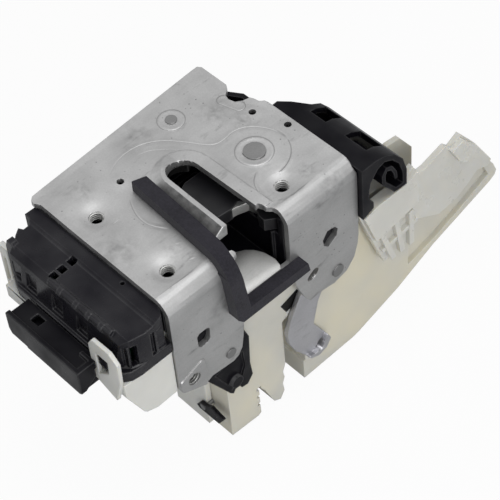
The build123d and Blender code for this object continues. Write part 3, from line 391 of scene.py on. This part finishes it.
def smooth(points, rounds=2):
    """Corner cutting, to round a line of points."""
    for _ in range(rounds):
        cut = [points[0]]
        for (ax, ay), (bx, by) in zip(points, points[1:]):
            cut.append((ax * 0.75 + bx * 0.25, ay * 0.75 + by * 0.25))
            cut.append((ax * 0.25 + bx * 0.75, ay * 0.25 + by * 0.75))
        cut.append(points[-1])
        points = cut
    return points


def ring(centre, radius, start, end, steps):
    """Part of a circle as a line of points."""
    x, y = centre
    angles = [math.radians(start + (end - start) * i / steps) for i in range(steps + 1)]
    return [(x + radius * math.cos(a), y + radius * math.sin(a)) for a in angles]


CLAW_RIVET = (-19.0, 4.3)
PLATE_RIVET = (-54.3, -6.4)
SCREW_HOLES = [(-38.6, -57.8), (-0.6, -56.5), (0.0, 0.0)]
SCREW_RADIUS = 2.95
# The long step that sweeps round the slot's closed end and past the claw rivet
SWEEP = [
    (-49.7, -42.4), (-53.4, -35.3), (-54.4, -28.1), (-52.7, -21.1), (-48.4, -15.2), (-41.6, -10.3),
    (-34.8, -6.1), (-32.1, -3.0), (-31.9, 1.5), (-32.6, 5.8), (-31.1, 10.4), (-28.1, 13.5),
    (-23.7, 16.3), (-18.8, 17.5), (-14.6, 17.4),
]
SEAL_LOBE = [(-35.5, -43.9), (-30.8, -46.4), (-26.0, -47.8), (-20.5, -47.7), (-14.2, -43.9)]
HOLE_LOBE = [(-10.9, -2.6), (-7.7, -7.1), (-0.1, -9.6), (3.9, -10.9)]
OBLONG = ring((-47.5, 14.6), 2.4, 90, 270, 6) + ring((-40.6, 16.6), 2.4, -90, 90, 6)
OPEN_LINES = [smooth(SWEEP), smooth(SEAL_LOBE), smooth(HOLE_LOBE), ring(CLAW_RIVET, 14.0, 100, -20, 16)]
RINGS = [ring(CLAW_RIVET, 7.4, 0, 360, 24), ring(PLATE_RIVET, 5.4, 0, 360, 20), OBLONG + OBLONG[:1]]
# Two fine lines along the slot's far side, and three nicks
RIM_OUTER_LINE = [
    (-50.1, -29.0), (-49.1, -23.8), (-46.9, -20.7), (-42.7, -16.3), (-37.1, -13.2), (-31.1, -12.5),
    (-23.3, -11.5), (-15.3, -10.8), (-6.2, -11.2),
]
RIM_INNER_LINE = [(-28.5, -12.9), (-19.7, -12.9), (-14.4, -12.7), (-9.1, -12.5)]
NICKS = [
    [(-30.9, -56.6), (-30.8, -52.8)], [(-6.6, -46.8), (-6.0, -44.9)], [(2.0, -48.2), (2.9, -46.1)],
]
FINE_LINES = [smooth(RIM_OUTER_LINE), smooth(RIM_INNER_LINE)] + NICKS
LINE_REACH = 8.0
LINE_HALF_WIDTH = 1.5
END_FADE = 6.0
FINE_SHARE = 0.6


def press_step(x, y):
    """Signed distance to the nearest pressed line, and how much of that line shows."""
    nearest, side_gap, near = LINE_REACH, LINE_REACH, 0.0
    place = Vector((x, y))
    for line in OPEN_LINES + RINGS + FINE_LINES:
        gap, side, share = distance_to_line(place, line)
        if gap < nearest:
            fade = 1.0 if line in RINGS else min(1.0, share * END_FADE, (1.0 - share) * END_FADE)
            if line in FINE_LINES:
                fade *= FINE_SHARE
            nearest, side_gap = gap, side * gap
            near = fade * min(1.0, max(0.0, LINE_HALF_WIDTH - gap))
    return side_gap, near


# Round swellings of the sheet: middle, radius and width of the swelling, and its height
SWELLINGS = [(CLAW_RIVET, 6.6, 1.2, 0.35), (PLATE_RIVET, 4.4, 1.3, 0.22)]
WAVE_HEIGHT = 0.18
WAVE_FINENESS = 0.045


def press_height(x, y):
    """Height of the swellings round the rivets and of the sheet's slight waves."""
    wave = noise.noise(Vector((x * WAVE_FINENESS, y * WAVE_FINENESS, 0.0)))
    height = WAVE_HEIGHT * wave - WAVE_HEIGHT
    for (rx, ry), radius, width, rise in SWELLINGS:
        away = math.hypot(x - rx, y - ry)
        height += rise * math.exp(-((away - radius) / width) ** 2)
    return height


def hole_distance(x, y):
    """Distance to the middle of the nearest screw hole."""
    return min(math.hypot(x - hx, y - hy) for hx, hy in SCREW_HOLES)


BOWL_WIDTH = 4.4
BOWL_REACH = 16.0


def bowl(x, y):
    """Depth of the soft bowls round the screw holes."""
    depth = 0.0
    for hx, hy in SCREW_HOLES:
        away = max(math.hypot(x - hx, y - hy) - SCREW_RADIUS, 0.0)
        depth += LIFT * math.exp(-((away / BOWL_WIDTH) ** 1.5))
    return depth


def cut_in_cells(shape, span, step, axis):
    """Cut every face along planes across one axis."""
    normal = Vector((1, 0, 0)) if axis == 0 else Vector((0, 1, 0))
    place, high = span
    while place < high:
        everything = shape.verts[:] + shape.edges[:] + shape.faces[:]
        bmesh.ops.bisect_plane(shape, geom=everything, plane_co=normal * place * MM, plane_no=normal)
        place += step


FACE_X = (-68.0, 8.0)
FACE_Y = (-69.5, 25.8)
DIMPLE_RADIUS = 6.25
# The flat goes into the bend here, and swellings fade out before it and before each edge
FLAT_END_X = 6.6
FADE_TO_BEND = 4.0
FADE_TO_EDGE = 3.0
# Metres
SAME_HEIGHT = 2e-6


def press_verts(shape):
    """Move the plate's points to the pressed heights, and note the pressed lines near them."""
    side_layer = shape.verts.layers.float.new("press_side")
    near_layer = shape.verts.layers.float.new("press_near")
    top = LIFT * MM
    flats = {vert for vert in shape.verts if all(face.normal.z > 0.9 for face in vert.link_faces)}
    at_top = [vert for vert in shape.verts if abs(vert.co.z - top) < SAME_HEIGHT]
    edges = [vert.co.copy() for vert in at_top if vert not in flats]
    tree = kdtree.KDTree(len(edges))
    for i, place in enumerate(edges):
        tree.insert(place, i)
    tree.balance()
    for vert in shape.verts:
        x, y = vert.co.x / MM, vert.co.y / MM
        vert[side_layer] = LINE_REACH
        vert[near_layer] = 0.0
        away = hole_distance(x, y)
        in_bowl = SCREW_RADIUS - 0.05 < away < DIMPLE_RADIUS and -1e-6 < vert.co.z < top + SAME_HEIGHT
        on_top = abs(vert.co.z - top) < SAME_HEIGHT and x < FLAT_END_X + 0.8
        if on_top and vert in flats:
            vert[side_layer], vert[near_layer] = press_step(x, y)
            to_bend = min(1.0, max(0.0, (FLAT_END_X - x) / FADE_TO_BEND))
            to_edge = tree.find(vert.co)[2] / (FADE_TO_EDGE * MM)
            vert.co.z += press_height(x, y) * min(to_bend, to_edge) * MM
        if (on_top and away < BOWL_REACH) or in_bowl:
            vert.co.z = (vert.co.z if on_top else top) - bowl(x, y) * MM


# The rim's outer wall lies beyond this line, and painted shade on it fades in over a length from here on
RIM_WALL_Y = -28.0
DARK_START_X = -37.0
DARK_LENGTH = 9.0


def mark_painted_wall_shade(shape):
    """Note the faces that get painted shade: the rim's outer wall, fading in from one end, and the screw
    holes' bores.
    """
    painted_shade_layer = shape.loops.layers.float.new("painted_wall_shade")
    for face in shape.faces:
        spot = face.calc_center_median() / MM
        raised = spot.z > LIFT + 0.3 and spot.y < RIM_WALL_Y
        rim = raised and face.normal.z < 0.90 and face.normal.y < -0.25
        bore = hole_distance(spot.x, spot.y) < SCREW_RADIUS + 0.15 and face.normal.z < 0.5
        for loop in face.loops:
            shown = min(1.0, max(0.0, (loop.vert.co.x / MM - DARK_START_X) / DARK_LENGTH))
            loop[painted_shade_layer] = 1.0 if bore else shown if rim else 0.0


FULL_CELL = 0.7


def pressed_plate():
    """Face plate with its bowls, swellings and pressed lines, made from the plate's own solid."""
    source = frame["nodes"]["latch_plate"]
    shape = bmesh.new()
    shape.from_mesh(source.data)
    bmesh.ops.remove_doubles(shape, verts=shape.verts[:], dist=1e-6)
    cell = FULL_CELL
    cut_in_cells(shape, FACE_X, cell, 0)
    cut_in_cells(shape, FACE_Y, cell, 1)
    bmesh.ops.dissolve_degenerate(shape, dist=2e-5, edges=shape.edges[:])
    shape.normal_update()
    press_verts(shape)
    mark_painted_wall_shade(shape)
    made = object_from(shape, "latch_plate_pressed")
    made.data.materials.append(materials["zinc_steel"])
    smooth_shading(made, sharp_angle=38, weight=80)
    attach(made, "housing")
    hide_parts("latch_plate")
    return made


pressed_plate()


# Mouldings and cut steel: the solids with rounded edges
SHARP_EDGE = 35


def softened(node, width):
    """Copy of a solid with its sharp edges rounded, in the solid's place."""
    source = frame["nodes"][node]
    slot = slot_of(node)
    shape = bmesh.new()
    shape.from_mesh(source.data)
    bmesh.ops.remove_doubles(shape, verts=shape.verts[:], dist=2e-6)
    bmesh.ops.dissolve_limit(shape, angle_limit=math.radians(1), verts=shape.verts[:], edges=shape.edges[:])
    inner = [edge for edge in shape.edges if len(edge.link_faces) == 2]
    sharp = [edge for edge in inner if edge.calc_face_angle(0.0) > math.radians(SHARP_EDGE)]
    offset = width * MM
    bmesh.ops.bevel(shape, geom=sharp, offset=offset, segments=2, affect="EDGES", clamp_overlap=True)
    bmesh.ops.triangulate(shape, faces=shape.faces[:])
    made = object_from(shape, node + "_soft")
    smooth_shading(made, sharp_angle=42, weight=100)
    made.data.materials.append(materials[slot])
    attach(made, source["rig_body"])
    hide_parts(node)
    return made


softened("seal_strip", 0.15)
# Widths of the rounded edges
SOFT_EDGES = {
    "module_cover": 0.35, "module_housing": 0.45, "connector_hood": 0.3, "cable_guide": 0.3,
    "actuator_housing": 0.5, "ribbed_cover": 0.35, "lower_guard": 0.35, "striker_ramp": 0.2,
    "release_lever": 0.3, "claw_overmould": 0.3, "claw": 0.2, "lever_stop": 0.3, "lock_lever": 0.25,
    "striker_pocket": 0.3, "striker_stop": 0.3,
}
for name, width in SOFT_EDGES.items():
    softened(name, width)


# Screw threads
THREAD_RADIUS = 2.93
THREAD_PITCH = 1.0
THREAD_DEPTH = 0.50
THREAD_FOOT = 0.30
THREAD_CREST = 0.06
STEPS_PER_TURN = 28
THREAD_END = 6
FACE_THREAD_Z = -1.75
FACE_THREAD_LENGTH = 4.4
SIDE_SCREW = (13.9, -62.0, -48.1)
SIDE_THREAD_LENGTH = 5.2


def thread(name, centre, axis, length):
    """Helical ridge inside a bore, running inwards from its mouth."""
    shape = bmesh.new()
    count = int(length / THREAD_PITCH * STEPS_PER_TURN)
    rows = []
    side = Vector((0, 1, 0)) if abs(axis.z) < 0.5 else Vector((1, 0, 0))
    other = axis.cross(side)
    for i in range(count + 1):
        angle = 2 * math.pi * i / STEPS_PER_TURN
        along = -length * i / count
        out = side * math.cos(angle) + other * math.sin(angle)
        crest = THREAD_RADIUS - THREAD_DEPTH * min(1.0, i / THREAD_END, (count - i) / THREAD_END)
        section = (
            (THREAD_RADIUS, THREAD_FOOT), (crest, THREAD_CREST),
            (crest, -THREAD_CREST), (THREAD_RADIUS, -THREAD_FOOT),
        )
        rows.append([shape.verts.new(centre + (out * r + axis * (along + a)) * MM) for r, a in section])
    for first, second in zip(rows, rows[1:]):
        for j in range(4):
            shape.faces.new((first[j], second[j], second[(j + 1) % 4], first[(j + 1) % 4]))
    shape.faces.new(rows[0])
    shape.faces.new(rows[-1][::-1])
    bmesh.ops.recalc_face_normals(shape, faces=shape.faces[:])
    made = object_from(shape, name)
    made.data.materials.append(materials["bright_steel"])
    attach(made, "housing")
    return made


for i, (x, y) in enumerate(SCREW_HOLES):
    thread(f"face_thread_{i}", at(x, y, FACE_THREAD_Z), Vector((0, 0, 1)), FACE_THREAD_LENGTH)
thread("side_thread", at(*SIDE_SCREW), Vector((1, 0, 0)), SIDE_THREAD_LENGTH)


# Thin black sheets behind the flange's two windows, which make the windows show dark: they stand in for the
# black housing behind the flange and for the shade in it
FLANGE_INNER_X = 11.0
WALL = 0.6


def dark_window_sheet(name, y, z):
    """Thin black sheet against the inside of the flange, behind one of its windows."""
    shape = bmesh.new()
    bmesh.ops.create_cube(shape, size=1.0)
    spans = ((FLANGE_INNER_X - WALL, FLANGE_INNER_X), y, (z[0] + LIFT, z[1] + LIFT))
    middle = Vector([(low + high) / 2 for low, high in spans])
    size = [high - low for low, high in spans]
    for vert in shape.verts:
        vert.co = (middle + Vector([part * length for part, length in zip(vert.co, size)])) * MM
    made = object_from(shape, name)
    made.data.materials.append(materials["black_plastic"])
    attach(made, "housing")
    return made


dark_window_sheet("left_dark_window_sheet", y=(-59.5, -50.1), z=(-35.4, -24.4))
dark_window_sheet("right_dark_window_sheet", y=(5.4, 15.5), z=(-35.0, -23.2))


# Floor, world, lamps
FLOOR_GREY = (0.62, 0.62, 0.62, 1)
FLOOR_WHITE_SHARE = 0.95
WORLD_TINT = (0.96, 0.98, 1.0, 1)
WORLD_LIGHT = 0.46


def pale_floor():
    """Floor that the camera sees as nearly white, with the object's shadow on it."""
    bpy.ops.mesh.primitive_plane_add(size=6.0, location=(0, 0, cad_low.z - 0.5 * MM))
    floor = bpy.context.object
    floor.name = "floor"
    ground = bpy.data.materials.new("floor")
    ground.use_nodes = True
    tree = ground.node_tree
    tree.nodes.clear()
    output = tree.nodes.new("ShaderNodeOutputMaterial")
    diffuse = tree.nodes.new("ShaderNodeBsdfDiffuse")
    diffuse.inputs["Color"].default_value = FLOOR_GREY
    white = tree.nodes.new("ShaderNodeEmission")
    white.inputs["Strength"].default_value = 1.0
    blend = tree.nodes.new("ShaderNodeMixShader")
    path = tree.nodes.new("ShaderNodeLightPath")
    share = tree.nodes.new("ShaderNodeMath")
    share.operation = "MULTIPLY"
    share.inputs[1].default_value = FLOOR_WHITE_SHARE
    tree.links.new(path.outputs["Is Camera Ray"], share.inputs[0])
    tree.links.new(share.outputs[0], blend.inputs[0])
    tree.links.new(diffuse.outputs[0], blend.inputs[1])
    tree.links.new(white.outputs[0], blend.inputs[2])
    tree.links.new(blend.outputs[0], output.inputs[0])
    floor.data.materials.append(ground)
    return floor


floor = pale_floor()


def studio_world():
    """Soft light all round; camera, glossy and transmission rays see plain white."""
    world = bpy.data.worlds.new("studio")
    bpy.context.scene.world = world
    world.use_nodes = True
    tree = world.node_tree
    tree.nodes.clear()
    output = tree.nodes.new("ShaderNodeOutputWorld")
    soft = tree.nodes.new("ShaderNodeBackground")
    soft.inputs["Color"].default_value = WORLD_TINT
    soft.inputs["Strength"].default_value = WORLD_LIGHT
    plain = tree.nodes.new("ShaderNodeBackground")
    plain.inputs["Strength"].default_value = 1.0
    blend = tree.nodes.new("ShaderNodeMixShader")
    path = tree.nodes.new("ShaderNodeLightPath")
    glossy = tree.nodes.new("ShaderNodeMath")
    glossy.operation = "MAXIMUM"
    through = tree.nodes.new("ShaderNodeMath")
    through.operation = "MAXIMUM"
    tree.links.new(path.outputs["Is Camera Ray"], glossy.inputs[0])
    tree.links.new(path.outputs["Is Glossy Ray"], glossy.inputs[1])
    tree.links.new(glossy.outputs[0], through.inputs[0])
    tree.links.new(path.outputs["Is Transmission Ray"], through.inputs[1])
    tree.links.new(through.outputs[0], blend.inputs[0])
    tree.links.new(soft.outputs[0], blend.inputs[1])
    tree.links.new(plain.outputs[0], blend.inputs[2])
    tree.links.new(blend.outputs[0], output.inputs[0])


studio_world()

LAMP_AIM = Vector((0, 0, -0.03))


def lamp(name, place, size, power):
    """Soft box that looks at the middle of the part; place and size in metres, power in watts."""
    data = bpy.data.lights.new(name, "AREA")
    data.shape = "RECTANGLE"
    data.size, data.size_y = size
    data.energy = power
    made = bpy.data.objects.new(name, data)
    made.location = place
    made.rotation_mode = "QUATERNION"
    made.rotation_quaternion = (LAMP_AIM - Vector(place)).to_track_quat("-Z", "Y")
    bpy.context.scene.collection.objects.link(made)


lamp("key", place=(0.10, 0.05, 0.90), size=(0.50, 0.40), power=3.0)
lamp("fill", place=(0.75, -0.25, 0.30), size=(0.5, 0.5), power=3.0)
lamp("rim", place=(-0.75, -0.35, 0.30), size=(0.3, 0.6), power=0.6)

# Camera, from the photograph's viewing angle: degrees, pixels of the photograph, and metres
AZIMUTH = 50.83
ELEVATION = 50.03
ROLL = -5.64
FOCAL_PIXELS = 1839.0
PHOTO_PIXELS = 500.0
SENSOR_WIDTH = 36.0
CAMERA_PLACE = (0.3443151, -0.2985808, 0.5085086)


def view_rotation():
    """Directions right, up and back of the camera in the part's frame."""
    azimuth, elevation, roll = (math.radians(angle) for angle in (AZIMUTH, ELEVATION, ROLL))
    flat = math.cos(elevation)
    back = Vector((math.sin(azimuth) * flat, -math.cos(azimuth) * flat, math.sin(elevation)))
    right = Vector((math.cos(azimuth), math.sin(azimuth), 0.0))
    up = back.cross(right)
    turned_right = right * math.cos(roll) + up * math.sin(roll)
    turned_up = up * math.cos(roll) - right * math.sin(roll)
    return turned_right, turned_up, back


camera_data = bpy.data.cameras.new("camera")
camera = bpy.data.objects.new("camera", camera_data)
bpy.context.scene.collection.objects.link(camera)
camera_data.sensor_width = SENSOR_WIDTH
camera_data.lens = SENSOR_WIDTH * FOCAL_PIXELS / PHOTO_PIXELS
camera_data.clip_start = 0.05
camera_data.clip_end = 20.0
right, up, back = view_rotation()
camera.matrix_world = Matrix((
    (right.x, up.x, back.x, CAMERA_PLACE[0]), (right.y, up.y, back.y, CAMERA_PLACE[1]),
    (right.z, up.z, back.z, CAMERA_PLACE[2]), (0, 0, 0, 1),
))
bpy.context.scene.camera = camera
bpy.context.scene.view_settings.view_transform = "Standard"
